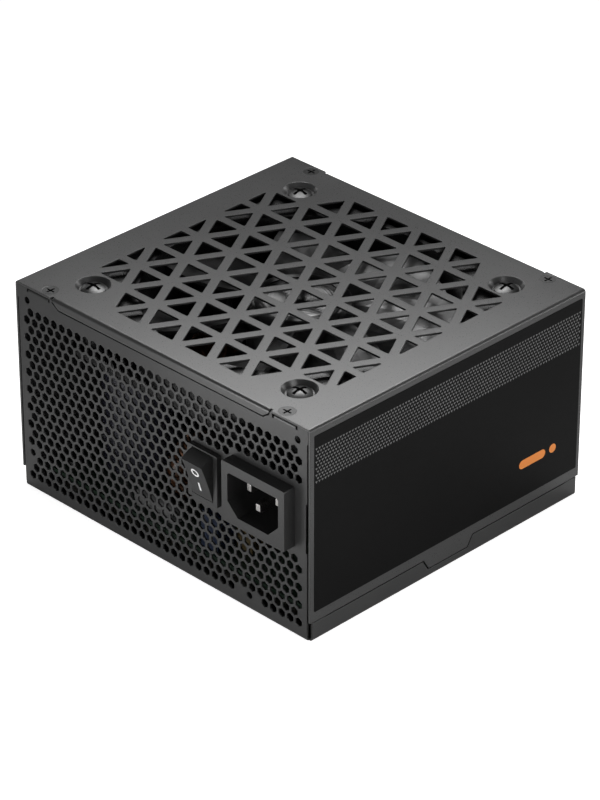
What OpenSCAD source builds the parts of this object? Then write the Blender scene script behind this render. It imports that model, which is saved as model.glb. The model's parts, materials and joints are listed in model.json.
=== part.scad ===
// Desktop computer power supply unit with a top fan, a honeycomb mains end and modular outputs.
// Z is up, the case stands on z = 0 and is centred on X and Y, and the mains end faces -Y.

/* [Case] */
// Width of the case, along X
case_w = 150; // [140:1:160]
// Depth of the case, along Y
case_d = 140; // [140:5:220]
// Height of the case
case_h = 86; // [84:1:90]
// Thickness of the sheet steel
sheet = 0.8; // [0.6:0.1:1]
// Outer radius of each bend in the sheet
bend_r = 1.2; // [1:0.1:1.5]
// Height of the lower edge of the cover's side walls
cover_edge_z = 8; // [6:0.5:10]

/* [Fan grille] */
// Side of one triangle of the grille's lattice
tri_side = 17.25; // [16:0.25:18]
// Height of one row of the lattice
tri_row = 15.5; // [14:0.1:16]
// Half of the width of a grille bar
bar_half = 1.75; // [1.2:0.05:2.2]
// Radius of the corners of a grille opening
tri_round = 0.4; // [0.2:0.1:0.8]

/* [Fan] */
// Side of the square fan frame
fan_side = 120; // [120:1:120]
// Thickness of the fan frame
fan_thick = 25; // [15:1:25]
// Distance between two fan screws
fan_pitch = 105; // [105:0.5:105]
// Radius of the rotor's hub
hub_r = 19.5; // [17:0.5:22]
// Number of fan blades
blade_count = 7; // [5:1:11]

/* [Honeycomb] */
// Distance between the hexagonal holes in one row
hex_pitch = 4.21; // [4:0.01:5]
// Width of a hexagonal hole across its flats
hex_flats = 3.15; // [2.4:0.05:3.4]
// Number of rows of holes
hex_rows = 20; // [10:1:20]
// Height of the top row of holes
hex_top_z = 75.5; // [70:0.5:76]

/* [Mains inlet and switch] */
// Position of the middle of the inlet along X
inlet_x = 52.2; // [50:0.1:53]
// Height of the middle of the inlet
inlet_z = 48.5; // [47:0.1:50]
// How far the inlet stands out of the wall
inlet_proud = 5.2; // [3:0.1:6]
// Position of the middle of the switch along X
switch_x = 24; // [23:0.1:25]
// Height of the middle of the switch
switch_z = 47.2; // [46:0.1:49]
// Tilt of the rocker's face from the wall when one end is pressed in
rocker_tilt = 18.2; // [12:0.1:19]

/* [Sockets] */
// Distance between two cells of an output socket
cell_pitch = 4.2; // [4.2:0.1:4.2]
// How far the output sockets stand out of the end wall
socket_proud = 1.5; // [0:0.5:3]

/* [Hidden] */

$fn = 48;
half_w = case_w / 2;
half_d = case_d / 2;
inner_w = half_w - sheet;
inner_d = half_d - sheet;
seam = 0.4;

// Flap that the cover folds down over each end wall, and the screw tab beside it
flap_half = 55;
flap_foot_half = 52;
flap_z = case_h - 3.6;
flap_corner_z = case_h - 1.4;
relief_w = 1.2;
tab_x = [57.5, 68];
tab_depth = 8;
relief_z = case_h - 2.3;
cover_screw_x = 60.2;
cover_screw_y = 66.2;
cover_screw_r = 3.1;

// Grille extents: half of its width, and the lattice rows it fills
grille_half_w = 3.5 * tri_side;
grille_rows = 3;

// Dished seats for the fan screws
dish_r = 6.6;
dish_foot_r = 5.2;
dish_depth = 2;
fan_hole_r = 2.1;
fan_screw_r = 2.05;
fan_top_z = case_h - dish_depth - sheet;
fan_foot_z = fan_top_z - fan_thick;

// Board mounting and room under the fan
board_z = 7;
board_t = 1.6;
board_top = board_z + board_t;
board_hole_r = 1.6;
board_holes = [[-62, -56], [62, -56], [-62, 52], [62, 52]];

// Case mounting holes in the mains end wall, as X and Z, for 6-32 screws
mount_r = 1.38;
mount_holes = [[-69, 80], [69, 80], [-69, 16], [45, 6]];

// Mains inlet
inlet_w = 30.8;
inlet_h = 24.2;
inlet_body = [27.4, 19.2];
inlet_recess = [25, 16.6];
inlet_chamfer = 5;
inlet_front_y = -half_d - inlet_proud;
inlet_recess_y = inlet_front_y + 16.7;
inlet_back_y = inlet_recess_y + 2.5;
pin_x = 7;
pin_up_z = inlet_z + 2;
pin_down_z = inlet_z - 2;

// Rocker switch
switch_w = 14.7;
switch_h = 21;
switch_proud = 2.1;
switch_body = [12.9, 19.6];
switch_cavity = [10.5, 18.9];
switch_cavity_depth = 8;
switch_depth = 13;
pivot_z = switch_z + 0.4;
pivot_y = -half_d - 0.9;
pivot_r = 0.9;
rocker_r = 9.32;
rocker_w = 10;
rocker_face = 4.04;
rocker_dip = 0.35;
rocker_back = 3;
rocker_half = sqrt(rocker_r * rocker_r - rocker_face * rocker_face);
dip_r = rocker_half * rocker_half / (2 * rocker_dip);
mark_t = 0.12;

// Output sockets, each as [x, z, columns]; a socket is two cells high
socket_h = 2 * cell_pitch + 1.4;
socket_back_y = half_d - 7.8;
motherboard_sets = [[-44, 66, 9], [-7, 66, 5]];
processor_sets = [[-56, 44, 4], [-32, 44, 4], [-8, 44, 4], [16, 44, 4], [40, 44, 4]];
drive_sets = [[-58, 22, 3], [-38, 22, 3], [-18, 22, 3], [2, 22, 3]];
all_sets = concat(motherboard_sets, processor_sets, drive_sets);
cell_open = 3.3;
modular_y = half_d - 9.4;

// ---------- helpers ----------

// Extrudes an outline drawn in Y and Z along X
module along_x(x0, x1) {
    translate([x0, 0, 0]) rotate([90, 0, 90]) linear_extrude(x1 - x0) children();
}

// Extrudes an outline drawn in X and Z along Y
module along_y(y0, y1) {
    translate([0, y1, 0]) rotate([90, 0, 0]) linear_extrude(y1 - y0) children();
}

// Box from its lowest corner to its highest corner
module block(low, high) {
    translate(low) cube(high - low);
}

// Quarter of a bent sheet, round the origin, in the first quadrant
module bend() {
    intersection() {
        difference() {
            circle(bend_r);
            circle(bend_r - sheet);
        }
        square(bend_r);
    }
}

// The same solid on both ends, or on both sides
module both_ends() {
    children();
    mirror([0, 1, 0]) children();
}

module both_sides() {
    children();
    mirror([1, 0, 0]) children();
}

module four_corners() {
    both_ends() both_sides() children();
}

// Rectangle with corners rounded to r, centred
module soft_rect(w, h, r) {
    union() {
        square([w - 2 * r, h], center = true);
        square([w, h - 2 * r], center = true);
        for (x = [-1, 1], y = [-1, 1])
            translate([x * (w / 2 - r), y * (h / 2 - r)]) circle(r);
    }
}

function mid(a, b, t) = a + (b - a) * t;
function unit(v) = v / norm(v);

// Corner of a convex outline after each edge has moved inwards by its inset
function inset_corner(p, a, n, in_a, in_n) =
    let (da = unit(p - a), dn = unit(n - p))
    let (na = [-da[1], da[0]], nn = [-dn[1], dn[0]])
    let (ca = na * p + in_a, cn = nn * p + in_n, det = na[0] * nn[1] - na[1] * nn[0])
    [(ca * nn[1] - cn * na[1]) / det, (na[0] * cn - nn[0] * ca) / det];

// Convex outline, given anticlockwise, inset by insets and with corners rounded to r
function rounded_inset(pts, insets, r) =
    let (n = len(pts))
    [for (i = [0 : n - 1])
        let (p = pts[i], a = pts[(i + n - 1) % n], b = pts[(i + 1) % n])
        let (c = inset_corner(p, a, b, insets[(i + n - 1) % n] + r, insets[i] + r))
        let (turn_a = atan2(p[1] - a[1], p[0] - a[0]) - 90)
        let (turn_b = atan2(b[1] - p[1], b[0] - p[0]) - 90)
        let (sweep = (turn_b - turn_a + 720) % 360)
        for (s = [0 : 2]) c + r * [cos(turn_a + sweep * s / 2), sin(turn_a + sweep * s / 2)]];

// Flat sheet outline with holes of any outline, and the children cut away too
module sheet_outline(outline, holes) {
    difference() {
        polygon(outline);
        for (h = holes) polygon(h);
        children();
    }
}

function rect_loop(x, y, w, h) =
    [[x - w / 2, y - h / 2], [x + w / 2, y - h / 2], [x + w / 2, y + h / 2], [x - w / 2, y + h / 2]];

// Tube of radius r swept along a route of points, with flat ends
function route_dir(route, i) =
    unit(route[min(i + 1, len(route) - 1)] - route[max(i - 1, 0)]);
function ring_at(route, i, r, sides) =
    let (d = route_dir(route, i), up = abs(d[2]) > 0.9 ? [1, 0, 0] : [0, 0, 1])
    let (u = unit(cross(d, up)), v = cross(u, d))
    [for (k = [0 : sides - 1]) route[i] + r * (cos(360 * k / sides) * u + sin(360 * k / sides) * v)];
module tube(route, r, sides = 8) {
    n = len(route);
    points = [for (i = [0 : n - 1]) for (p = ring_at(route, i, r, sides)) p];
    walls = [for (i = [0 : n - 2]) for (k = [0 : sides - 1])
        [i * sides + k, i * sides + (k + 1) % sides,
         (i + 1) * sides + (k + 1) % sides, (i + 1) * sides + k]];
    ends = [[for (k = [0 : sides - 1]) sides - 1 - k], [for (k = [0 : sides - 1]) (n - 1) * sides + k]];
    polyhedron(points = points, faces = concat(walls, ends), convexity = 6);
}

// Smooth route through hand-placed points, steps points to each stretch
function spline(p, steps = 4) =
    let (n = len(p))
    concat([for (i = [0 : n - 2]) for (s = [0 : steps - 1])
        let (t = s / steps, a = p[max(i - 1, 0)], b = p[i], c = p[i + 1], d = p[min(i + 2, n - 1)])
        0.5 * (2 * b + (c - a) * t + (2 * a - 5 * b + 4 * c - d) * t * t
               + (3 * b - a - 3 * c + d) * t * t * t)], [p[n - 1]]);

// Cross-shaped driver recess, to be cut from a screw head
module cross_recess(arm, width, depth) {
    for (turn = [0, 90])
        rotate([0, 0, turn]) translate([-arm, -width / 2, -depth]) cube([2 * arm, width, depth + 1]);
    cylinder(h = 2 * depth, r = width * 0.8, center = true);
}

// ---------- case ----------

// Upper edge of an end wall for x > 0: from the side, over the tab, down round the cover's flap
function wall_top(step_x) =
    [[step_x, case_h - sheet], [tab_x[1] + 0.9, case_h - sheet], [tab_x[1] + 0.9, relief_z],
     [tab_x[1], relief_z], [tab_x[1], case_h - sheet - bend_r],
     [tab_x[0], case_h - sheet - bend_r], [tab_x[0], relief_z],
     [tab_x[0] - 0.9, relief_z], [tab_x[0] - 0.9, case_h - sheet],
     [flap_half + seam, case_h - sheet], [flap_half + seam, flap_corner_z - seam],
     [flap_foot_half + seam / 2, flap_z - seam]];
function mirrored(pts) = [for (i = [len(pts) - 1 : -1 : 0]) [-pts[i][0], pts[i][1]]];

wall_half = half_w - 1.5;
wall_step_half = half_w - 0.9;
wall_step_z = case_h - 6.2;
wall_slot_z = [36, 56];

// Outline of an end wall above its bottom bend, with a side slot on the +X edge
function end_wall_outline() =
    concat([[wall_half, bend_r], [wall_half, wall_slot_z[0]], [wall_half - 0.6, wall_slot_z[0]],
            [wall_half - 0.6, wall_slot_z[1]], [wall_half, wall_slot_z[1]],
            [wall_half, wall_step_z], [wall_step_half, wall_step_z]],
           wall_top(wall_step_half),
           mirrored(wall_top(wall_step_half)),
           [[-wall_step_half, wall_step_z], [-wall_half, wall_step_z], [-wall_half, bend_r]]);

hex_row_pitch = hex_pitch * sqrt(3) / 2;
hex_r = hex_flats / sqrt(3);

// Places of the honeycomb that stay solid: round the inlet and switch, and round two mounting holes
function hex_blocked(x, z) =
    (z > 33.5 && z < 59 && x > switch_x - 9) || (z > 59 && z < 62 && x > 34.5)
    || norm([x - mount_holes[2][0], z - mount_holes[2][1]]) < 3.3
    || (z < 7 && abs(x - 44.2) < 4.4);

function hex_loop(x, z) =
    [for (k = [0 : 5]) [x + hex_r * cos(60 * k + 30), z + hex_r * sin(60 * k + 30)]];

function honeycomb_loops() =
    [for (i = [0 : hex_rows - 1])
        let (z = hex_top_z - i * hex_row_pitch, odd = i % 2, shift = odd * hex_pitch / 2)
        for (k = [-16 - odd : 16])
            let (x = hex_pitch * k + shift)
            if (!hex_blocked(x, z)) hex_loop(x, z)];

// Inward screw tabs at the top of an end wall
module wall_tabs() {
    difference() {
        both_sides() {
            along_x(tab_x[0], tab_x[1]) translate([-half_d + bend_r, case_h - sheet - bend_r])
                mirror([1, 0]) bend();
            block([tab_x[0], -half_d + bend_r, case_h - 2 * sheet],
                  [tab_x[1], -half_d + tab_depth, case_h - sheet]);
        }
        both_sides() translate([cover_screw_x, -cover_screw_y, case_h - 3]) cylinder(h = 4, r = 1.35);
    }
}

module mains_end_wall() {
    cut_outs = [rect_loop(inlet_x, inlet_z, inlet_body[0] + 0.4, inlet_body[1] + 0.4),
                rect_loop(switch_x, pivot_z, switch_body[0] + 0.4, switch_body[1] + 0.4)];
    color("#4a4a4c") union() {
        along_y(-half_d, -inner_d) sheet_outline(end_wall_outline(), concat(honeycomb_loops(), cut_outs))
            for (m = mount_holes) translate(m) circle(mount_r);
        wall_tabs();
    }
}

// Low side wall of the chassis, with the notch for the cover's tongue
tongue_top = 12.6;
tongue_foot = 10;
tongue_z = 3.7;
module chassis_side() {
    top = cover_edge_z - 0.25;
    low = cover_edge_z - 0.5;
    step = 62.6;
    end = inner_d - 0.4;
    along_x(inner_w, half_w) polygon([[-end, bend_r], [end, bend_r], [end, top], [step, top],
        [step, low], [tongue_top + seam, low], [tongue_foot + seam, tongue_z - seam],
        [-tongue_foot - seam, tongue_z - seam], [-tongue_top - seam, low], [-step, low],
        [-step, top], [-end, top]]);
    along_y(-end, end) translate([half_w - bend_r, bend_r]) mirror([0, 1]) bend();
}

module chassis() {
    floor_w = half_w - bend_r;
    floor_d = half_d - bend_r;
    color("#3f3f41") union() {
        block([-floor_w, -floor_d, 0], [floor_w, floor_d, sheet]);
        both_sides() chassis_side();
        both_ends() along_x(-floor_w + 0.4, floor_w - 0.4)
            translate([-floor_d, bend_r]) rotate(180) bend();
        mirror([0, 1, 0]) along_y(-half_d, -inner_d) sheet_outline(end_wall_outline(),
            [for (s = all_sets) rect_loop(s[0], s[1], s[2] * cell_pitch + 1.6, socket_h + 0.2)]);
        mirror([0, 1, 0]) wall_tabs();
    }
}

function lattice_x(j, k) = tri_side * k + (j % 2 == 0 ? 0 : tri_side / 2);

// Lattice triangle that stands on row j (up) or hangs from row j + 1, from node k of its base
function lattice_tri(j, k, up) =
    up ? [[lattice_x(j, k), j * tri_row], [lattice_x(j, k) + tri_side, j * tri_row],
          [lattice_x(j, k) + tri_side / 2, (j + 1) * tri_row]]
       : [[lattice_x(j + 1, k) + tri_side, (j + 1) * tri_row], [lattice_x(j + 1, k), (j + 1) * tri_row],
          [lattice_x(j + 1, k) + tri_side / 2, j * tri_row]];
function centre_x(tri) = (tri[0][0] + tri[1][0]) / 2;

// Half of a lattice triangle, cut along its vertical axis, for the grille's straight sides
function half_tri(tri) =
    let (x = centre_x(tri), y = tri[0][1], peak = tri[2], inward = x > 0 ? min(tri[0][0], tri[1][0])
                                                                        : max(tri[0][0], tri[1][0]))
    let (pts = [[inward, y], [x, y], peak])
    let (turn = (pts[1][0] - pts[0][0]) * (pts[2][1] - pts[0][1]))
    turn > 0 ? [pts, [bar_half, 0, bar_half]]
             : [[pts[0], pts[2], pts[1]], [bar_half, 0, bar_half]];

function tri_loop(tri) = rounded_inset(tri, [bar_half, bar_half, bar_half], tri_round);
function half_loop(tri) = let (h = half_tri(tri)) rounded_inset(h[0], h[1], tri_round);

function grille_loops() =
    concat(
        [for (j = [-grille_rows : grille_rows - 1]) for (up = [true, false]) for (k = [-5 : 4])
            let (t = lattice_tri(j, k, up), x = centre_x(t))
            if (abs(x) < grille_half_w - 1) tri_loop(t)],
        [for (j = [-grille_rows : grille_rows - 1]) for (up = [true, false]) for (k = [-5 : 4])
            let (t = lattice_tri(j, k, up), x = centre_x(t))
            if (abs(abs(x) - grille_half_w) < 1) half_loop(t)],
        [for (j = [-grille_rows - 1, grille_rows]) for (up = [true, false]) for (k = [-5 : 4])
            let (t = lattice_tri(j, k, up), x = centre_x(t))
            if (abs(x) < 2.1 * tri_side) tri_loop(t)]);

// Outline of the cover's flat top between the long bends, notched at both ends for the flaps
function top_outline() =
    let (x = half_w - bend_r, f = flap_half + relief_w, d = half_d - bend_r)
    [[-x, -half_d], [-f, -half_d], [-f, -d], [f, -d], [f, -half_d], [x, -half_d],
     [x, half_d], [f, half_d], [f, d], [-f, d], [-f, half_d], [-x, half_d]];

module cover_flap() {
    along_x(-flap_half, flap_half) translate([-half_d + bend_r, case_h - bend_r]) mirror([1, 0]) bend();
    along_y(-half_d, -inner_d) polygon([[-flap_half, case_h - bend_r], [-flap_half, flap_corner_z],
        [-flap_foot_half, flap_z], [flap_foot_half, flap_z], [flap_half, flap_corner_z],
        [flap_half, case_h - bend_r]]);
}

module cover_wall() {
    along_y(-half_d, half_d) union() {
        translate([inner_w, cover_edge_z]) square([sheet, case_h - bend_r - cover_edge_z]);
        translate([half_w - bend_r, case_h - bend_r]) bend();
    }
    along_x(inner_w, half_w) polygon([[-tongue_top, cover_edge_z], [-tongue_foot, tongue_z],
        [tongue_foot, tongue_z], [tongue_top, cover_edge_z]]);
}

// Dished seat of a fan screw, with its wall and floor of sheet thickness
module screw_dish() {
    rotate_extrude() polygon([[fan_hole_r, case_h - dish_depth], [dish_foot_r, case_h - dish_depth],
        [dish_r, case_h], [dish_r + 1, case_h], [dish_r + 1, case_h - sheet],
        [dish_r + 0.3, case_h - sheet], [dish_foot_r + 0.3, fan_top_z], [fan_hole_r, fan_top_z]]);
}

module top_cover() {
    color("#6a6a6c") union() {
        difference() {
            translate([0, 0, case_h - sheet]) linear_extrude(sheet)
                sheet_outline(top_outline(), grille_loops());
            four_corners() translate([fan_pitch / 2, fan_pitch / 2, case_h - 2])
                cylinder(h = 4, r = dish_r + 1);
            four_corners() translate([cover_screw_x, cover_screw_y, case_h - sheet])
                cylinder(h = sheet, r1 = cover_screw_r - 0.75, r2 = cover_screw_r + 0.05);
        }
        four_corners() translate([fan_pitch / 2, fan_pitch / 2, 0]) screw_dish();
        both_sides() cover_wall();
        both_ends() cover_flap();
    }
}

module cover_screws() {
    color("#58585a") four_corners() translate([cover_screw_x, cover_screw_y, case_h]) difference() {
        union() {
            translate([0, 0, -sheet]) cylinder(h = sheet - 0.05, r1 = cover_screw_r - 0.8, r2 = cover_screw_r);
            translate([0, 0, -5]) cylinder(h = 5 - sheet, r = 1.3);
        }
        cross_recess(1.9, 0.75, 1.1);
    }
}

// ---------- fan ----------

screw_head_r = 4.6;
screw_head_h = 1.9;
module fan_screws() {
    ball_r = 9;
    color("#8c8c8e") four_corners() translate([fan_pitch / 2, fan_pitch / 2, case_h - dish_depth])
        difference() {
            union() {
                intersection() {
                    cylinder(h = screw_head_h, r = screw_head_r);
                    translate([0, 0, screw_head_h - ball_r]) sphere(ball_r);
                }
                translate([0, 0, -11]) cylinder(h = 11, r = fan_screw_r);
            }
            translate([0, 0, screw_head_h]) cross_recess(3.3, 1.25, 1.5);
        }
}

barrel_r = 58.4;
flange_t = 3.6;
hub_plate_r = 21;
module fan_frame() {
    color("#1d1d1f") difference() {
        union() {
            translate([0, 0, fan_foot_z]) difference() {
                union() {
                    linear_extrude(flange_t) soft_rect(fan_side, fan_side, 6);
                    translate([0, 0, fan_thick - flange_t]) linear_extrude(flange_t)
                        soft_rect(fan_side, fan_side, 6);
                    intersection() {
                        cylinder(h = fan_thick, r = barrel_r + 2.4, $fn = 96);
                        translate([-fan_side / 2, -fan_side / 2, 0]) cube([fan_side, fan_side, fan_thick]);
                    }
                    for (x = [-1, 1], y = [-1, 1])
                        translate([x * fan_pitch / 2, y * fan_pitch / 2, 0]) cylinder(h = fan_thick, r = 4.2);
                }
                translate([0, 0, -1]) cylinder(h = fan_thick + 2, r = barrel_r, $fn = 96);
            }
            translate([0, 0, fan_foot_z]) cylinder(h = 2.4, r = hub_plate_r);
            for (turn = [20 : 90 : 290]) rotate([0, 0, turn])
                block([hub_plate_r - 1, -2.2, fan_foot_z], [barrel_r + 0.6, 2.2, fan_foot_z + 2.4]);
        }
        for (x = [-1, 1], y = [-1, 1])
            translate([x * fan_pitch / 2, y * fan_pitch / 2, fan_foot_z - 1])
                cylinder(h = fan_thick + 2, r = fan_hole_r);
    }
}

bearing_r = 3.4;
shaft_r = 1.5;
shaft_gap = 0.05;
hub_top_z = case_h - 5;
hub_foot_z = fan_foot_z + 3.6;
hub_roof = 1.8;
hub_wall = 1.8;
magnet_t = 1.6;
magnet_r = hub_r - hub_wall;

module fan_bearing() {
    color("#b08d57") difference() {
        translate([0, 0, fan_foot_z + 2.4]) cylinder(h = 14, r = bearing_r);
        translate([0, 0, fan_foot_z + 3.4]) cylinder(h = 20, r = shaft_r + shaft_gap);
    }
}

module fan_circuit_board() {
    color("#2c5d3f") difference() {
        translate([0, 0, fan_foot_z + 2.6]) cylinder(h = 0.8, r = 15);
        translate([0, 0, fan_foot_z]) cylinder(h = 9, r = bearing_r + 0.05);
    }
}

module fan_stator() {
    low = fan_foot_z + 5;
    color("#9a5a2e") difference() {
        union() {
            translate([0, 0, low]) cylinder(h = 8, r = 7);
            for (turn = [0 : 90 : 270]) rotate([0, 0, turn]) {
                block([5, -2.4, low + 1], [13, 2.4, low + 7]);
                intersection() {
                    translate([0, 0, low + 1]) cylinder(h = 6, r = 14.6);
                    block([12.6, -8, low + 1], [15, 8, low + 7]);
                }
            }
        }
        translate([0, 0, low - 1]) cylinder(h = 20, r = bearing_r + 0.05);
    }
}

module fan_shaft() {
    color("#c8c8ca") translate([0, 0, fan_foot_z + 3.6])
        cylinder(h = hub_top_z - hub_roof - fan_foot_z - 3.6, r = shaft_r);
}

module fan_magnet_ring() {
    color("#303032") translate([0, 0, hub_foot_z + 0.6]) difference() {
        cylinder(h = 10, r = magnet_r);
        translate([0, 0, -1]) cylinder(h = 12, r = magnet_r - magnet_t);
    }
}

// Blade surface: angle round the axis and height at radius r, for c from 0 (leading) to 1
blade_tip_r = 56.9;
blade_root_r = hub_r - 1;
blade_low_z = hub_foot_z + 0.6;
blade_high_z = hub_top_z - 1.6;
blade_t = 1.5;
function blade_span(r) = mid(42, 44, (r - hub_r) / (blade_tip_r - hub_r));
function blade_sweep(r) = -16 * pow((r - blade_root_r) / (blade_tip_r - blade_root_r), 1.4);
function blade_height(r, c) =
    let (f = (r - blade_root_r) / (blade_tip_r - blade_root_r), drop = mid(0, 2.2, f))
    mid(blade_low_z + drop, blade_high_z - drop, c + 0.16 * sin(180 * c));
function blade_point(r, c, lift) =
    let (a = blade_sweep(r) + blade_span(r) * c)
    [r * cos(a), r * sin(a), blade_height(r, c) + lift];

module blade() {
    n = 8;
    m = 8;
    radii = [for (i = [0 : n]) mid(blade_root_r, blade_tip_r, i / n)];
    over = [for (r = radii) for (c = [0 : m]) blade_point(r, c / m, blade_t / 2)];
    under = [for (r = radii) for (c = [0 : m]) blade_point(r, c / m, -blade_t / 2)];
    low = len(over);
    w = m + 1;
    skin = [for (i = [0 : n - 1]) for (c = [0 : m - 1]) each [
        [i * w + c, i * w + c + 1, (i + 1) * w + c + 1],
        [i * w + c, (i + 1) * w + c + 1, (i + 1) * w + c],
        [low + i * w + c, low + (i + 1) * w + c + 1, low + i * w + c + 1],
        [low + i * w + c, low + (i + 1) * w + c, low + (i + 1) * w + c + 1]]];
    sides = [for (i = [0 : n - 1]) each [
        [i * w, (i + 1) * w, low + (i + 1) * w],
        [i * w, low + (i + 1) * w, low + i * w],
        [i * w + m, low + (i + 1) * w + m, (i + 1) * w + m],
        [i * w + m, low + i * w + m, low + (i + 1) * w + m]]];
    ends = [for (c = [0 : m - 1]) each [
        [c, low + c + 1, c + 1],
        [c, low + c, low + c + 1],
        [n * w + c, n * w + c + 1, low + n * w + c + 1],
        [n * w + c, low + n * w + c + 1, low + n * w + c]]];
    polyhedron(points = concat(over, under), faces = concat(skin, sides, ends), convexity = 6);
}

module fan_rotor() {
    round_r = 2.6;
    color("#2b2b30") union() {
        rotate_extrude($fn = 96) difference() {
            union() {
                translate([0, hub_foot_z]) square([hub_r, hub_top_z - round_r - hub_foot_z]);
                translate([0, hub_foot_z]) square([hub_r - round_r, hub_top_z - hub_foot_z]);
                translate([hub_r - round_r, hub_top_z - round_r]) circle(round_r);
            }
            translate([0, hub_foot_z - 1]) square([hub_r - hub_wall, hub_top_z - hub_roof - hub_foot_z + 1]);
            translate([0, hub_top_z - 0.4]) square([hub_r - 4.6, 1]);
        }
        for (i = [0 : blade_count - 1]) rotate([0, 0, i * 360 / blade_count + 12]) blade();
    }
}

module fan_hub_badge() {
    color("#9fa0a4") translate([0, 0, hub_top_z - 0.4]) cylinder(h = 0.3, r = hub_r - 4.8);
}

// ---------- mains inlet and switch ----------

// Recess outline of the inlet, with its two lower corners cut off
module inlet_outline(grow) {
    w = inlet_recess[0] / 2 + grow;
    h = inlet_recess[1] / 2 + grow;
    polygon([[-w + inlet_chamfer, -h], [w - inlet_chamfer, -h], [w, -h + inlet_chamfer], [w, h - 0.8],
             [w - 0.8, h], [-w + 0.8, h], [-w, h - 0.8], [-w, -h + inlet_chamfer]]);
}

module inlet_housing() {
    color("#232325") difference() {
        union() {
            along_y(inlet_front_y, -half_d) translate([inlet_x, inlet_z]) soft_rect(inlet_w, inlet_h, 0.6);
            along_y(-half_d, inlet_back_y) translate([inlet_x, inlet_z])
                square([inlet_body[0], inlet_body[1]], center = true);
        }
        along_y(inlet_front_y - 1, inlet_recess_y) translate([inlet_x, inlet_z - 0.1]) inlet_outline(0);
        for (x = [-pin_x, 0, pin_x])
            block([inlet_x + x - 1, inlet_recess_y - 1, (x == 0 ? pin_down_z : pin_up_z) - 2],
                  [inlet_x + x + 1, inlet_back_y + 1, (x == 0 ? pin_down_z : pin_up_z) + 2]);
    }
}

// Flat contact blade with a tapered tip, and the narrower tab behind the housing
module contact(x, z, tip_y) {
    along_x(x - 1, x + 1) polygon([[tip_y, z - 1.3], [tip_y + 1, z - 2], [inlet_back_y, z - 2],
        [inlet_back_y, z - 3], [inlet_back_y + 8, z - 3], [inlet_back_y + 8, z + 3],
        [inlet_back_y, z + 3], [inlet_back_y, z + 2], [tip_y + 1, z + 2], [tip_y, z + 1.3]]);
}

module inlet_pins() {
    color("#c9c9cb") {
        contact(inlet_x - pin_x, pin_up_z, inlet_front_y + 5.2);
        contact(inlet_x + pin_x, pin_up_z, inlet_front_y + 5.2);
        contact(inlet_x, pin_down_z, inlet_front_y + 2.6);
    }
}

module switch_housing() {
    cavity_back = -half_d - switch_proud + switch_cavity_depth;
    color("#1f1f21") difference() {
        union() {
            along_y(-half_d - switch_proud, -half_d) translate([switch_x, switch_z])
                soft_rect(switch_w, switch_h, 0.5);
            along_y(-half_d, -half_d + switch_depth) translate([switch_x, pivot_z])
                square([switch_body[0], switch_body[1]], center = true);
        }
        along_y(-half_d - switch_proud - 1, cavity_back) translate([switch_x, pivot_z])
            square([switch_cavity[0], switch_cavity[1]], center = true);
        translate([switch_x, pivot_y, pivot_z]) rotate([0, 90, 0])
            cylinder(h = rocker_w + 2.4, r = pivot_r + 0.05, center = true);
    }
}

// Rocker in its own frame: pivot along X through the origin, face towards -Y, upright
module rocker_shape() {
    difference() {
        union() {
            rotate([0, 90, 0]) cylinder(h = rocker_w, r = rocker_r, center = true, $fn = 96);
            rotate([0, 90, 0]) cylinder(h = rocker_w + 2.2, r = pivot_r, center = true);
        }
        translate([0, -rocker_face + rocker_dip - dip_r, 0]) rotate([0, 90, 0])
            cylinder(h = rocker_w + 0.1, r = dip_r, center = true, $fn = 200);
        block([-rocker_w / 2 - 0.05, rocker_back, -rocker_r - 1], [rocker_w / 2 + 0.05, rocker_r + 1, rocker_r + 1]);
    }
}

module in_rocker_place() {
    translate([switch_x, pivot_y, pivot_z]) rotate([rocker_tilt, 0, 0]) children();
}

module switch_rocker() {
    color("#2a2a2c") in_rocker_place() rocker_shape();
}

// The ring and bar marks, a thin layer on the rocker's face
module rocker_marks() {
    ring_z = 3.6;
    bar_z = -3.3;
    color("#f2f2f2") in_rocker_place() intersection() {
        translate([0, -rocker_face + rocker_dip - dip_r, 0]) rotate([0, 90, 0]) difference() {
            cylinder(h = rocker_w, r = dip_r, center = true, $fn = 200);
            cylinder(h = rocker_w + 1, r = dip_r - mark_t, center = true, $fn = 200);
        }
        union() {
            translate([0, -rocker_face + 2, ring_z]) rotate([90, 0, 0]) difference() {
                cylinder(h = 4, r = 1.85);
                translate([0, 0, -1]) cylinder(h = 6, r = 1.2);
            }
            block([-0.35, -rocker_face - 2, bar_z - 1.9], [0.35, -rocker_face + 2, bar_z + 1.9]);
        }
    }
}

module switch_terminals() {
    y = -half_d + switch_depth;
    color("#c9c9cb") for (z = [-5, 5])
        block([switch_x - 2.4, y, pivot_z + z - 0.4], [switch_x + 2.4, y + 8, pivot_z + z + 0.4]);
}

// ---------- labels ----------

label_t = 0.15;
label_y = [-68, 68.4];
label_z = [12, 83];
module side_label() {
    color("#1c1c1e") along_x(half_w, half_w + label_t)
        translate([mid(label_y[0], label_y[1], 0.5), mid(label_z[0], label_z[1], 0.5)])
            soft_rect(label_y[1] - label_y[0], label_z[1] - label_z[0], 0.5);
}

module rating_label() {
    color("#1c1c1e") along_x(-half_w - label_t, -half_w)
        translate([0, mid(label_z[0], label_z[1], 0.5)])
            soft_rect(label_y[1] - label_y[0], label_z[1] - label_z[0], 0.5);
}

// ---------- boards and what stands on them ----------

module insulation_sheet() {
    color("#d8d4c0") difference() {
        block([-66, -62, sheet], [66, 56, sheet + 0.3]);
        for (h = board_holes) translate([h[0], h[1], 0]) cylinder(h = 4, r = 3.4);
    }
}

module board_standoffs() {
    color("#a8a8aa") for (h = board_holes) translate([h[0], h[1], sheet]) difference() {
        cylinder(h = board_z - sheet, r = 3);
        translate([0, 0, 1]) cylinder(h = 9, r = 1.4);
    }
}

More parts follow.
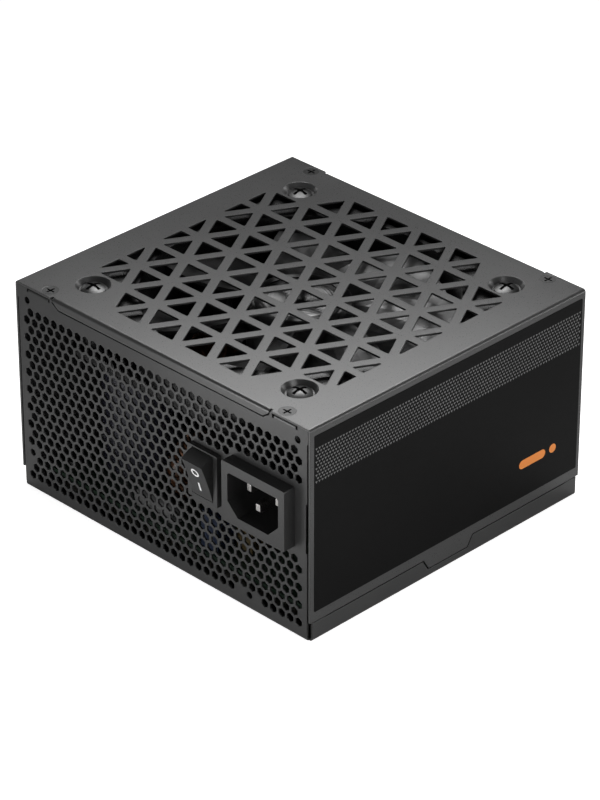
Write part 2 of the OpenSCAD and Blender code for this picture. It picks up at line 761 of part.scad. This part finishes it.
module board_screws() {
    color("#8c8c8e") for (h = board_holes) translate([h[0], h[1], board_top]) difference() {
        union() {
            cylinder(h = 1.8, r = 3);
            translate([0, 0, -5]) cylinder(h = 5, r = 1.35);
        }
        translate([0, 0, 1.8]) cross_recess(2, 0.9, 1.2);
    }
}

module main_board() {
    color("#2f5a36") difference() {
        block([-67, -64, board_z], [67, modular_y - 2, board_top]);
        for (h = board_holes) translate([h[0], h[1], board_z - 1]) cylinder(h = 4, r = board_hole_r);
    }
}

// Heatsink: a standing plate with a row of short fins on its rear side
module heatsink(x0, x1, y, z1, fins) {
    color("#a9abae") union() {
        block([x0, y, board_top], [x1, y + 3, z1]);
        for (i = [0 : fins - 1])
            let (x = mid(x0 + 1, x1 - 3, i / (fins - 1)))
                block([x, y + 2.9, board_top + 14], [x + 1.6, y + 9, z1]);
    }
}

module primary_heatsink() {
    heatsink(-24, 58, -15, 53, 12);
}

module secondary_heatsink() {
    heatsink(-58, 40, 32, 53, 14);
}

// Power transistors and rectifiers: flat packages against a heatsink plate
module package(x, y) {
    block([x - 5, y - 4.6, board_top + 12], [x + 5, y, board_top + 28]);
    for (leg = [-2.5, 0, 2.5])
        block([x + leg - 0.5, y - 2.6, board_top], [x + leg + 0.5, y - 1.8, board_top + 12]);
}

module power_transistors() {
    color("#1b1b1d") for (x = [-16, 0, 16, 32]) package(x, -15);
}

module output_rectifiers() {
    color("#1b1b1d") for (x = [-50, -34, -18, 28]) package(x, 32);
}

module bridge_rectifier() {
    color("#232325") {
        block([44, -20, board_top + 6], [58, -15, board_top + 26]);
        for (x = [46, 49.5, 53, 56.5])
            block([x - 0.5, -18, board_top], [x + 0.5, -17.2, board_top + 6]);
    }
}

// Radial capacitor standing on the board, with a rounded rim and a scored top
module can(x, y, r, h) {
    translate([x, y, board_top]) difference() {
        union() {
            cylinder(h = h - 1, r = r);
            cylinder(h = h, r = r - 1);
            translate([0, 0, h - 1]) rotate_extrude() translate([r - 1, 0]) circle(1);
        }
        for (turn = [0, 90])
            rotate([0, 0, turn]) translate([-r * 0.6, -0.2, h - 0.3]) cube([r * 1.2, 0.4, 1]);
    }
}

module bulk_capacitor() {
    color("#26262c") can(-46, -36, 15, 44);
}

module output_capacitors() {
    color("#3a3040") for (x = [-54 : 11 : 45]) can(x, 47, 4.5, x % 2 == 0 ? 20 : 25);
}

module main_transformer() {
    color("#c8a640") union() {
        block([-20, -4, board_top + 2], [20, 24, board_top + 34]);
        block([-13, -5.5, board_top + 6], [13, 26, board_top + 30]);
        block([-18, 0, board_top], [18, 20, board_top + 2.1]);
    }
}

module standby_transformer() {
    color("#c8a640") union() {
        block([34, 4, board_top + 1.5], [56, 22, board_top + 22]);
        block([38, 2, board_top + 5], [52, 24, board_top + 18]);
        block([36, 6, board_top], [54, 20, board_top + 1.6]);
    }
}

// Toroid wound with round turns of wire, the turns standing turn_t proud of the core
turn_t = 0.9;
module toroid(ring_r, core_r, turns) {
    union() {
        rotate_extrude() translate([ring_r, 0]) circle(core_r);
        for (i = [0 : turns - 1]) rotate([0, 0, i * 360 / turns]) translate([ring_r, 0, 0])
            rotate([90, 0, 0]) cylinder(h = 1.6, r = core_r + turn_t, center = true, $fn = 24);
    }
}

// Toroid standing on its edge on the board, its axis along X
module standing_toroid(x, y, ring_r, core_r, turns) {
    translate([x, y, board_top + ring_r + core_r + turn_t]) rotate([0, 90, 0]) toroid(ring_r, core_r, turns);
}

module boost_choke() {
    color("#a5602b") standing_toroid(-52, 2, 11, 6, 14);
}

module output_choke() {
    core_r = 3.4;
    color("#a5602b") translate([-32.5, 14, board_top + core_r + turn_t]) toroid(6.8, core_r, 8);
}

module filter_chokes() {
    color("#a5602b") for (x = [-14, 6]) standing_toroid(x, -40, 8, 4, 12);
}

module line_capacitors() {
    color("#d0a92e") for (y = [-54, -37])
        block([22, y, board_top], [30, y + 16, board_top + 14]);
}

module fuse() {
    color("#e3e3da") union() {
        translate([-24, -58, board_top + 4]) rotate([0, 90, 0]) cylinder(h = 20, r = 3);
        for (x = [-24, -8]) block([x, -60, board_top], [x + 4, -56, board_top + 3]);
    }
}

module inrush_relay() {
    color("#2b4a7d") block([12, -62, board_top], [20.5, -53, board_top + 15]);
}

module control_board() {
    color("#2f5a36") union() {
        block([62, -22, board_top], [63.6, 34, board_top + 30]);
        for (y = [-14, 4, 20]) block([60.4, y, board_top + 10], [62.1, y + 8, board_top + 20]);
    }
}

module modular_board() {
    color("#24502f") block([-69, modular_y, 11], [69, modular_y + board_t, 80]);
}

// Copper bars that carry the low voltage from the main board to the modular board
module bus_bars() {
    color("#b87333") for (x = [-50, -20, 20, 50])
        along_x(x - 3, x + 3) polygon([[modular_y - 8, board_top], [modular_y - 8, board_top + 1],
            [modular_y - 1, board_top + 1], [modular_y - 1, 20], [modular_y, 20], [modular_y, board_top]]);
}

// ---------- output sockets ----------

// Cell centres of one socket, across its columns and two rows
function cells(s) =
    [for (c = [0 : s[2] - 1]) for (row = [-0.5, 0.5])
        [s[0] + (c - (s[2] - 1) / 2) * cell_pitch, s[1] + row * cell_pitch]];

module socket(s) {
    w = s[2] * cell_pitch + 1.4;
    outline = rect_loop(s[0], s[1], w, socket_h);
    along_y(socket_back_y, half_d + socket_proud)
        sheet_outline(outline, [for (c = cells(s)) rect_loop(c[0], c[1], cell_open, cell_open)]);
    block([s[0] - 3, socket_back_y + 1, s[1] + socket_h / 2 - 0.01],
          [s[0] + 3, inner_d - 0.1, s[1] + socket_h / 2 + 1.4]);
}

module motherboard_sockets() {
    color("#18181a") for (s = motherboard_sets) socket(s);
}

module processor_sockets() {
    color("#18181a") for (s = processor_sets) socket(s);
}

module drive_sockets() {
    color("#18181a") for (s = drive_sets) socket(s);
}

module socket_pins() {
    color("#d8c27a") for (s = all_sets) for (c = cells(s))
        block([c[0] - 0.55, modular_y + board_t, c[1] - 0.55], [c[0] + 0.55, half_d - 1.5, c[1] + 0.55]);
}

// ---------- wires ----------

live_route = [[45.2, -47.4, 50.5], [45.2, -45, 50.5], [40, -42, 46], [30, -43, 43], [24, -45.5, 42.6],
              [24, -48.7, 42.6]];
neutral_route = [[59.2, -47.4, 50.5], [59.2, -45, 50.5], [63, -38, 40], [60, -34, 24], [54, -33, 12],
                 [54, -33, 9.2]];
earth_route = [[52.2, -47.4, 46.5], [52.2, -45, 46.5], [58, -46, 32], [66, -52, 16], [69, -57, 4],
               [69, -57, 1.5]];
fan_route = [[-44, 10, 60], [-58, 18, 56], [-64, 26, 44], [-64, 30, 24], [-62, 30, 12], [-62, 30, 8.8]];

module live_wire() {
    color("#6b3f22") tube(spline(live_route), 1.1);
}

module neutral_wire() {
    color("#2a4fa0") tube(spline(neutral_route), 1.1);
}

module earth_wire() {
    color("#5a9a3c") tube(spline(earth_route), 1.1);
}

module fan_lead() {
    color("#222224") tube(spline(fan_route), 1);
}

chassis();
mains_end_wall();
top_cover();
cover_screws();
fan_screws();
fan_frame();
fan_bearing();
fan_stator();
fan_circuit_board();
fan_rotor();
fan_shaft();
fan_magnet_ring();
fan_hub_badge();
inlet_housing();
inlet_pins();
switch_housing();
switch_rocker();
rocker_marks();
switch_terminals();
side_label();
rating_label();
insulation_sheet();
main_board();
board_standoffs();
board_screws();
primary_heatsink();
secondary_heatsink();
bulk_capacitor();
main_transformer();
standby_transformer();
boost_choke();
bridge_rectifier();
power_transistors();
output_rectifiers();
filter_chokes();
line_capacitors();
output_capacitors();
output_choke();
control_board();
modular_board();
motherboard_sockets();
processor_sockets();
drive_sockets();
socket_pins();
fuse();
inrush_relay();
live_wire();
neutral_wire();
earth_wire();
fan_lead();
bus_bars();
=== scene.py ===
import json
import math

import bmesh
import bpy
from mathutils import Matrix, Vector


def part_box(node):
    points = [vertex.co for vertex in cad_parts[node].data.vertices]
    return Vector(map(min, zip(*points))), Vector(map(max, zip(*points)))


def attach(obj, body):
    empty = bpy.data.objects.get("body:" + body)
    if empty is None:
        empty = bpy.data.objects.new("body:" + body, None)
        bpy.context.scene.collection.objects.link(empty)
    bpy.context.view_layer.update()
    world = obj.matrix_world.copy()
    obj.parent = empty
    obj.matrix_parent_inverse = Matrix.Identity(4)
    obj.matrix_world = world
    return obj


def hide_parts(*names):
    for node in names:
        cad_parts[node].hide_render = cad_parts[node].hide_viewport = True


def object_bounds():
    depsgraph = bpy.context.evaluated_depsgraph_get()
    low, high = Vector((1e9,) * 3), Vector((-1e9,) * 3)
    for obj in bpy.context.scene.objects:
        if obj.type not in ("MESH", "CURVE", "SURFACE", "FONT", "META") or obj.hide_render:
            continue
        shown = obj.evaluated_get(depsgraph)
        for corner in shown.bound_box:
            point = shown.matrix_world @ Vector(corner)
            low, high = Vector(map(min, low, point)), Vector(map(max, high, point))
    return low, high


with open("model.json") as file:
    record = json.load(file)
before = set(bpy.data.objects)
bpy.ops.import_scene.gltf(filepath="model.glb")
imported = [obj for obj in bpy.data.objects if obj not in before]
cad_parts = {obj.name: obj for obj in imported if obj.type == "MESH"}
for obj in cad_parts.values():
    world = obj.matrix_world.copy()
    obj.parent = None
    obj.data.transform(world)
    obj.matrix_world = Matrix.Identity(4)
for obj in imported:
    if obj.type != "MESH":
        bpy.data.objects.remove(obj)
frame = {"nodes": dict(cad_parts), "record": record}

MM = 0.001
nodes = frame["nodes"]
cad_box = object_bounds()


# ---------- camera, floor and light ----------

# The view: where the camera stands round the object, how far off, and the point it looks at
VIEW_AZIMUTH = math.radians(45.03)
VIEW_ELEVATION = math.radians(30.41)
VIEW_DISTANCE = 1386.7 * MM
VIEW_TARGET = Vector((6.15, -6.11, 43)) * MM
LENS = 171.85
OBJECT_MIDDLE = Vector((0, 0, 43)) * MM


def direction(azimuth, elevation):
    """Unit vector from the object towards azimuth (0 is -Y, 90 is +X) and elevation, in radians."""
    return Vector((math.sin(azimuth) * math.cos(elevation),
                   -math.cos(azimuth) * math.cos(elevation), math.sin(elevation)))


def aim(thing, place, target):
    thing.location = place
    thing.rotation_euler = (target - place).to_track_quat("-Z", "Y").to_euler()


def make_camera():
    data = bpy.data.cameras.new("camera")
    data.lens = LENS
    data.sensor_width = 36
    data.clip_start, data.clip_end = 0.05, 60
    camera = bpy.data.objects.new("camera", data)
    bpy.context.scene.collection.objects.link(camera)
    aim(camera, VIEW_TARGET + VIEW_DISTANCE * direction(VIEW_AZIMUTH, VIEW_ELEVATION), VIEW_TARGET)
    bpy.context.scene.camera = camera


def softbox(name, azimuth, elevation, distance, width, height, power, target=OBJECT_MIDDLE):
    """Rectangular studio light that faces the object."""
    data = bpy.data.lights.new(name, "AREA")
    data.shape = "RECTANGLE"
    data.size, data.size_y = width, height
    data.energy = power
    lamp = bpy.data.objects.new(name, data)
    lamp.visible_camera = False
    bpy.context.scene.collection.objects.link(lamp)
    place = target + distance * direction(math.radians(azimuth), math.radians(elevation))
    aim(lamp, place, target)


def camera_sees(tree, seen, unseen):
    """Gives the value seen where the camera looks straight at a surface, and the value unseen in reflections
    and bounces."""
    path = add(tree, "ShaderNodeLightPath")
    value = add(tree, "ShaderNodeMapRange", {"Value": path.outputs["Is Camera Ray"], "To Min": unseen,
                                             "To Max": seen})
    return value.outputs["Result"]


def make_studio():
    """Softboxes behind the front corner, in front of the mains end and on the right, fill for the far sides,
    and a world that is white to the camera and dim in reflections."""
    front_corner = Vector((cad_box[1].x, -70 * MM, cad_box[1].z))
    softbox("back_light_low", 225, 36, 0.40, 0.26, 0.12, 0.50, front_corner)
    softbox("back_light_high", 225, 54, 0.40, 0.25, 0.12, 1.05, front_corner)
    softbox("front_light", 0, 5, 0.16, 0.10, 0.10, 0.12, Vector((85, -70, 55)) * MM)
    softbox("front_strip", -38, 4, 0.20, 0.08, 0.08, 0.15, Vector((70, -70, 30)) * MM)
    softbox("right_strip", 130, 6, 0.9, 0.8, 0.12, 2.3)
    softbox("right_light", 90, 30, 0.25, 0.15, 0.15, 0.36, Vector((75, -60, 60)) * MM)
    softbox("left_light", -98, 10, 1.3, 0.6, 0.6, 3.0)
    softbox("rear_light", 168, 10, 1.3, 0.6, 0.6, 3.0)
    world = bpy.data.worlds.new("studio")
    world.use_nodes = True
    sky = world.node_tree.nodes["Background"]
    sky.inputs["Color"].default_value = (1, 1, 1, 1)
    world.node_tree.links.new(camera_sees(world.node_tree, 1.0, 0.03), sky.inputs["Strength"])
    bpy.context.scene.world = world
    bpy.context.scene.view_settings.view_transform = "Standard"


# ---------- materials ----------

def add(tree, kind, inputs=(), **settings):
    """A shader node with its settings, and its inputs given as values or as other nodes' outputs."""
    made = tree.nodes.new(kind)
    for key, value in settings.items():
        setattr(made, key, value)
    for key, value in dict(inputs).items():
        if isinstance(value, bpy.types.NodeSocket):
            tree.links.new(value, made.inputs[key])
        else:
            made.inputs[key].default_value = value
    return made


def ramp(tree, value, low, high, start=0.35, end=0.65):
    """Colour between low and high as value goes from start to end."""
    made = add(tree, "ShaderNodeValToRGB", {"Fac": value})
    for element, place, colour in zip(made.color_ramp.elements, (start, end), (low, high)):
        element.position = place
        element.color = (*colour, 1)
    return made.outputs["Color"]


def noise(tree, place, size, detail=2.0):
    """Noise whose features are about size metres across."""
    made = add(tree, "ShaderNodeTexNoise", {"Vector": place, "Scale": 1 / size, "Detail": detail})
    return made.outputs["Fac"]


def waves(tree, place, period, kind="BANDS", axis="Z", distortion=0.0):
    """Ridges a period apart, from 0 to 1, as bands along an axis or rings round it."""
    along = "rings_direction" if kind == "RINGS" else "bands_direction"
    # At a scale of 1, the node's ridges are 2 pi / 20 apart
    scale = 2 * math.pi / (20 * period)
    made = add(tree, "ShaderNodeTexWave", {"Vector": place, "Scale": scale, "Distortion": distortion,
                                           "Detail": 0.0}, **{"wave_type": kind, along: axis})
    return made.outputs["Fac"]


def finish(name, dark, light, rough, grain=0.4 * MM, depth=0.01 * MM, patch=25 * MM, metallic=0.0,
           stretch=(1, 1, 1), spread=0.06, relief=None, relief_depth=0.05 * MM, edge=0.0, **sockets):
    """Material whose colour drifts from dark to light in patches, with a fine grain in bump and roughness.
    relief makes a second height from the tree and the coordinates, edge is the radius that sharp edges are
    shaded with, and sockets are set on the shader."""
    mat = bpy.data.materials.new(name)
    mat.use_nodes = True
    tree = mat.node_tree
    shader = tree.nodes["Principled BSDF"]
    coords = add(tree, "ShaderNodeTexCoord").outputs["Object"]
    place = add(tree, "ShaderNodeMapping", {"Vector": coords, "Scale": stretch}).outputs["Vector"]
    fine = noise(tree, place, grain)
    colour = ramp(tree, noise(tree, place, patch, 4.0), dark, light)
    tree.links.new(colour, shader.inputs["Base Color"])
    gloss = add(tree, "ShaderNodeMapRange", {"Value": fine, "From Min": 0.3, "From Max": 0.7,
                                             "To Min": rough - spread, "To Max": rough + spread})
    tree.links.new(gloss.outputs["Result"], shader.inputs["Roughness"])
    bump = add(tree, "ShaderNodeBump", {"Height": fine, "Distance": depth, "Strength": 1.0})
    if edge:
        rounded = add(tree, "ShaderNodeBevel", {"Radius": edge}, samples=4)
        tree.links.new(rounded.outputs["Normal"], bump.inputs["Normal"])
    if relief:
        bump = add(tree, "ShaderNodeBump", {"Height": relief(tree, coords), "Distance": relief_depth,
                                            "Strength": 1.0, "Normal": bump.outputs["Normal"]})
    tree.links.new(bump.outputs["Normal"], shader.inputs["Normal"])
    shader.inputs["Metallic"].default_value = metallic
    for key, value in sockets.items():
        shader.inputs[key.replace("_", " ")].default_value = value
    return mat


def grey(value, warmth=0.0):
    return (value * (1 + warmth), value, value * (1 - warmth))


def spun_rings(tree, coords):
    return waves(tree, coords, 1.1 * MM, "RINGS", "Z")


def winding_turns(tree, coords):
    return waves(tree, coords, 1.1 * MM, "BANDS", "DIAGONAL", 1.0)


def tape_layers(tree, coords):
    return waves(tree, coords, 5 * MM, "BANDS", "Z", 0.4)


def board_traces(tree, coords):
    cells = add(tree, "ShaderNodeTexVoronoi", {"Vector": coords, "Scale": 1 / (4 * MM)},
                distance="MANHATTAN", feature="F1")
    inside = add(tree, "ShaderNodeMath", {0: cells.outputs["Distance"], 1: 0.55}, operation="LESS_THAN")
    return inside.outputs["Value"]


def make_materials():
    """One material for each of the record's slots, and two for the ink on the labels."""
    steel = dict(metallic=1.0, grain=0.25 * MM, depth=0.004 * MM)
    moulded = dict(grain=0.3 * MM, depth=0.012 * MM)
    ink = dict(grain=0.2 * MM, depth=0.002 * MM)
    powder_coat = dict(grain=0.35 * MM, depth=0.005 * MM, spread=0.04, edge=0.4 * MM)
    return {
        "case_paint": finish("case_paint", grey(0.034), grey(0.040), 0.31, Specular_IOR_Level=0.55,
                             **powder_coat),
        "chassis_paint": finish("chassis_paint", grey(0.026), grey(0.031), 0.33, Specular_IOR_Level=0.45,
                                **powder_coat),
        "screw_steel": finish("screw_steel", grey(0.055), grey(0.080), 0.38, **steel),
        "black_screw": finish("black_screw", grey(0.040), grey(0.065), 0.42, **steel),
        "fan_plastic": finish("fan_plastic", grey(0.012), grey(0.016), 0.30, **moulded),
        "rotor_plastic": finish("rotor_plastic", grey(0.014), grey(0.020), 0.38, 0.5 * MM, 0.006 * MM,
                                Coat_Weight=0.2, Coat_Roughness=0.30),
        "badge_metal": finish("badge_metal", grey(0.10), grey(0.14), 0.36, 0.2 * MM, 0.003 * MM, metallic=1.0,
                              relief=spun_rings, relief_depth=0.02 * MM, Anisotropic=0.6),
        "black_plastic": finish("black_plastic", grey(0.014), grey(0.019), 0.42, **moulded),
        "rocker_plastic": finish("rocker_plastic", grey(0.020), grey(0.026), 0.34, **moulded),
        "mark_white": finish("mark_white", grey(0.74), grey(0.82), 0.5, **ink),
        "contact_metal": finish("contact_metal", grey(0.34, 0.03), grey(0.44, 0.03), 0.30, **steel),
        "bearing_bronze": finish("bearing_bronze", (0.40, 0.27, 0.12), (0.50, 0.34, 0.16), 0.45, **steel),
        "shaft_steel": finish("shaft_steel", grey(0.55), grey(0.65), 0.18, stretch=(1, 1, 0.1), **steel),
        "ferrite": finish("ferrite", grey(0.018), grey(0.026), 0.7, 0.4 * MM, 0.03 * MM),
        # From copper down to the wires, the parts inside the case get dark versions of their usual colours:
        # painted shade, standing for the shade inside the closed case
        "copper": finish("copper", (0.075, 0.030, 0.012), (0.105, 0.045, 0.018), 0.4, metallic=0.6,
                         relief=winding_turns, relief_depth=0.3 * MM, Coat_Weight=0.5),
        "label_film": finish("label_film", grey(0.0022), grey(0.0034), 0.42, 0.3 * MM, 0.002 * MM,
                             patch=60 * MM, Specular_IOR_Level=0.07),
        "board_green": finish("board_green", (0.004, 0.014, 0.007), (0.006, 0.019, 0.009), 0.42,
                              relief=board_traces, relief_depth=0.04 * MM),
        "insulation_film": finish("insulation_film", (0.060, 0.056, 0.044), (0.075, 0.070, 0.055), 0.45),
        "standoff_steel": finish("standoff_steel", grey(0.08), grey(0.11), 0.4, **steel),
        "heatsink_metal": finish("heatsink_metal", grey(0.05), grey(0.07), 0.45, 0.3 * MM, 0.01 * MM,
                                 metallic=1.0, stretch=(1, 1, 0.06)),
        "sleeve_dark": finish("sleeve_dark", (0.016, 0.016, 0.024), (0.022, 0.022, 0.032), 0.25,
                              Coat_Weight=0.4),
        "tape_yellow": finish("tape_yellow", (0.050, 0.034, 0.010), (0.065, 0.045, 0.014), 0.42,
                              relief=tape_layers, relief_depth=0.05 * MM, Coat_Weight=0.3),
        "relay_blue": finish("relay_blue", (0.006, 0.012, 0.032), (0.008, 0.016, 0.042), 0.4, **moulded),
        "fuse_white": finish("fuse_white", grey(0.10), grey(0.13), 0.4, 0.5 * MM, 0.01 * MM, Coat_Weight=0.3),
        "wire_brown": finish("wire_brown", (0.030, 0.013, 0.006), (0.040, 0.018, 0.009), 0.4, **moulded),
        "wire_blue": finish("wire_blue", (0.008, 0.020, 0.080), (0.011, 0.026, 0.105), 0.4, **moulded),
        "wire_green": finish("wire_green", (0.020, 0.070, 0.012), (0.028, 0.095, 0.018), 0.4, **moulded),
        "wire_black": finish("wire_black", grey(0.010), grey(0.015), 0.4, **moulded),
        "band_grey": finish("band_grey", grey(0.10), grey(0.13), 0.5, **ink),
        "accent_orange": finish("accent_orange", (0.72, 0.21, 0.02), (0.80, 0.25, 0.03), 0.45, **ink),
    }


def paint(piece, material):
    piece.data.materials.clear()
    piece.data.materials.append(material)


# ---------- finishing the CAD nodes ----------

# Width of the small round along the edges of each node, in millimetres
EDGE_ROUNDS = {"inlet_housing": 0.35, "switch_housing": 0.3, "switch_rocker": 0.25, "fan_frame": 0.4,
               "motherboard_sockets": 0.2, "processor_sockets": 0.2, "drive_sockets": 0.2,
               "inlet_pins": 0.15, "inrush_relay": 0.3, "bridge_rectifier": 0.3,
               "main_transformer": 0.8, "standby_transformer": 0.6, "line_capacitors": 0.6}


def round_edges(piece, width):
    """Small rounded edges, on the node's faces welded at their shared corners."""
    weld = piece.modifiers.new("weld", "WELD")
    weld.merge_threshold = 0.001 * MM
    bevel = piece.modifiers.new("edge_round", "BEVEL")
    bevel.width = width
    bevel.segments = 3
    bevel.limit_method = "ANGLE"
    bevel.angle_limit = math.radians(35)
    bevel.use_clamp_overlap = True
    bevel.harden_normals = False
    piece.modifiers.new("shading", "WEIGHTED_NORMAL")


def finish_nodes(materials):
    slots = {part["node"]: part["material_slot"] for part in frame["record"]["subparts"]}
    for name, piece in nodes.items():
        paint(piece, materials[slots[name]])
    for name, width in EDGE_ROUNDS.items():
        round_edges(nodes[name], width * MM)


# ---------- mesh pieces ----------

def piece_from(name, points, faces, material, body):
    mesh = bpy.data.meshes.new(name)
    mesh.from_pydata(points, [], faces)
    mesh.update()
    made = bpy.data.objects.new(name, mesh)
    bpy.context.scene.collection.objects.link(made)
    paint(made, material)
    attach(made, body)
    return made


def plates(name, outlines, low, high, material, body="case"):
    """Thin plates that face along X, one from each outline of (y, z) points, from x = low to x = high."""
    points, faces = [], []
    for outline in outlines:
        first, n = len(points), len(outline)
        points += [(low, y, z) for y, z in outline] + [(high, y, z) for y, z in outline]
        near = [first + i for i in range(n)]
        far = [first + n + i for i in range(n)]
        faces += [near[::-1], far]
        faces += [[near[i], near[(i + 1) % n], far[(i + 1) % n], far[i]] for i in range(n)]
    made = piece_from(name, points, faces, material, body)
    tidy = bmesh.new()
    tidy.from_mesh(made.data)
    bmesh.ops.recalc_face_normals(tidy, faces=tidy.faces)
    tidy.to_mesh(made.data)
    tidy.free()
    return made


def round_rect(y0, z0, y1, z1, r, steps=4):
    """Outline of a rectangle with round corners."""
    outline = []
    centres = ((y1 - r, z1 - r), (y0 + r, z1 - r), (y0 + r, z0 + r), (y1 - r, z0 + r))
    for (cy, cz), turn in zip(centres, (0, 90, 180, 270)):
        for i in range(steps + 1):
            a = math.radians(turn + 90 * i / steps)
            outline.append((cy + r * math.cos(a), cz + r * math.sin(a)))
    return outline


def circle(y, z, r, steps=32):
    return [(y + r * math.cos(2 * math.pi * i / steps), z + r * math.sin(2 * math.pi * i / steps))
            for i in range(steps)]


# Ink on the labels: its thickness. The labels' corners: their radius
INK = 0.02 * MM
LABEL_CORNER = 0.5 * MM

# The side label's band of small triangles, below its top edge
BAND_TOP = 5 * MM
BAND_ROWS = 11
TRIANGLE_PITCH = 1.46 * MM
TRIANGLE_ROW = 1.31 * MM
TRIANGLE_W = 1.05 * MM
TRIANGLE_H = 0.86 * MM

# The side label's orange bar and dot: the bar's size, its place from the label's far edge and foot,
# and the dot's middle from the bar's end
ACCENT_W = 14 * MM
ACCENT_H = 3.6 * MM
ACCENT_FROM_EDGE = 31.5 * MM
ACCENT_FROM_FOOT = 14 * MM
ACCENT_TO_DOT = 4 * MM

# The ruled table on the rating label: its line, its margins, and its rows and columns
TABLE_LINE = 0.35 * MM
TABLE_MARGIN = 12 * MM
TABLE_TOP_MARGIN = 22 * MM
TABLE_ROWS = 4
TABLE_COLUMNS = 6


def band_of_triangles(low, high):
    """Downward-pointing triangles in rows, alternate rows half a pitch along."""
    outlines = []
    for row in range(BAND_ROWS):
        top = high.z - BAND_TOP - row * TRIANGLE_ROW
        y = low.y + TRIANGLE_PITCH * (0.75 if row % 2 else 0.25) + TRIANGLE_W / 2
        while y < high.y - TRIANGLE_W * 0.6:
            outlines.append([(y - TRIANGLE_W / 2, top), (y, top - TRIANGLE_H), (y + TRIANGLE_W / 2, top)])
            y += TRIANGLE_PITCH
    return outlines


def make_side_label(materials):
    low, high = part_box("side_label")
    film = plates("side_label_film", [round_rect(low.y, low.z, high.y, high.z, LABEL_CORNER)],
                  low.x, high.x - INK, materials["label_film"])
    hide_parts("side_label")
    plates("side_label_band", band_of_triangles(low, high), high.x - INK, high.x, materials["band_grey"])
    bar_y = high.y - ACCENT_FROM_EDGE
    bar_z = low.z + ACCENT_FROM_FOOT
    half = ACCENT_H / 2
    bar = round_rect(bar_y, bar_z - half, bar_y + ACCENT_W, bar_z + half, half * 0.98, 8)
    dot = circle(bar_y + ACCENT_W + ACCENT_TO_DOT, bar_z, half)
    plates("side_label_accent", [bar, dot], high.x - INK, high.x, materials["accent_orange"])


def frame_outline(y0, z0, y1, z1, line):
    """The four strokes of a ruled box."""
    return [[(y0, z0), (y1, z0), (y1, z0 + line), (y0, z0 + line)],
            [(y0, z1 - line), (y1, z1 - line), (y1, z1), (y0, z1)],
            [(y0, z0 + line), (y0 + line, z0 + line), (y0 + line, z1 - line), (y0, z1 - line)],
            [(y1 - line, z0 + line), (y1, z0 + line), (y1, z1 - line), (y1 - line, z1 - line)]]


def make_rating_label(materials):
    """The left side's label: a ruled table without any print in it."""
    low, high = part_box("rating_label")
    film = plates("rating_label_film", [round_rect(low.y, low.z, high.y, high.z, LABEL_CORNER)],
                  low.x + INK, high.x, materials["label_film"])
    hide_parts("rating_label")
    line = TABLE_LINE
    left, right = low.y + TABLE_MARGIN, high.y - TABLE_MARGIN
    foot, top = low.z + TABLE_MARGIN, high.z - TABLE_TOP_MARGIN
    strokes = frame_outline(left, foot, right, top, line)
    for i in range(1, TABLE_ROWS):
        z = foot + (top - foot) * i / TABLE_ROWS
        strokes.append([(left + line, z - line / 2), (right - line, z - line / 2),
                        (right - line, z + line / 2), (left + line, z + line / 2)])
    for i in range(1, TABLE_COLUMNS):
        y = left + (right - left) * i / TABLE_COLUMNS
        for k in range(TABLE_ROWS):
            z0 = foot + (top - foot) * k / TABLE_ROWS + line
            z1 = foot + (top - foot) * (k + 1) / TABLE_ROWS - line
            strokes.append([(y - line / 2, z0), (y + line / 2, z0), (y + line / 2, z1), (y - line / 2, z1)])
    plates("rating_label_table", strokes, low.x, low.x + INK, materials["band_grey"])


def lathe(name, profile, material, body, steps=96):
    """Surface of revolution round Z from a profile of (radius, z) points, from the middle outwards."""
    points, faces = [(0, 0, profile[0][1])], []
    for r, z in profile[1:]:
        points += [(r * math.cos(2 * math.pi * i / steps), r * math.sin(2 * math.pi * i / steps), z)
                   for i in range(steps)]
    rings = len(profile) - 1
    for i in range(steps):
        j = (i + 1) % steps
        faces.append([0, 1 + i, 1 + j])
        for k in range(rings - 1):
            a, b = 1 + k * steps, 1 + (k + 1) * steps
            faces.append([a + i, b + i, b + j, a + j])
    faces.append([1 + (rings - 1) * steps + i for i in range(steps)][::-1])
    made = piece_from(name, points, faces, material, body)
    made.data.shade_smooth()
    return made


def make_hub_badge(materials):
    """Spun disc with concentric grooves round a plain raised button."""
    low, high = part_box("fan_hub_badge")
    radius, groove, pitch = high.x, 0.12 * MM, 1.2 * MM
    button = 4.6 * MM
    profile = [(0, high.z), (button - 0.4 * MM, high.z), (button, high.z - groove * 1.5)]
    r = button + 0.3 * MM
    while r + pitch < radius - 0.4 * MM:
        profile += [(r, high.z - groove), (r + pitch * 0.5, high.z), (r + pitch * 0.9, high.z - groove)]
        r += pitch
    profile += [(radius - 0.2 * MM, high.z - groove), (radius, high.z - groove * 1.6), (radius, low.z)]
    badge = lathe("hub_badge_spun", profile, materials["badge_metal"], "fan")
    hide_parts("fan_hub_badge")


def make_floor():
    """Pale floor just under the object, which the camera sees as white."""
    floor = bpy.data.meshes.new("floor")
    reach = 12
    floor.from_pydata([(-reach, -reach, 0), (reach, -reach, 0), (reach, reach, 0), (-reach, reach, 0)],
                      [], [[0, 1, 2, 3]])
    made = bpy.data.objects.new("floor", floor)
    made.location = (0, 0, -0.05 * MM)
    bpy.context.scene.collection.objects.link(made)
    pale = finish("studio_floor", grey(0.78), grey(0.80), 0.7, 2 * MM, 0.01 * MM, patch=2.0)
    shader = pale.node_tree.nodes["Principled BSDF"]
    shader.inputs["Emission Color"].default_value = (1, 1, 1, 1)
    pale.node_tree.links.new(camera_sees(pale.node_tree, 0.8, 0.0), shader.inputs["Emission Strength"])
    paint(made, pale)


make_camera()
make_studio()
make_floor()
finishes = make_materials()
finish_nodes(finishes)
make_side_label(finishes)
make_rating_label(finishes)
make_hub_badge(finishes)
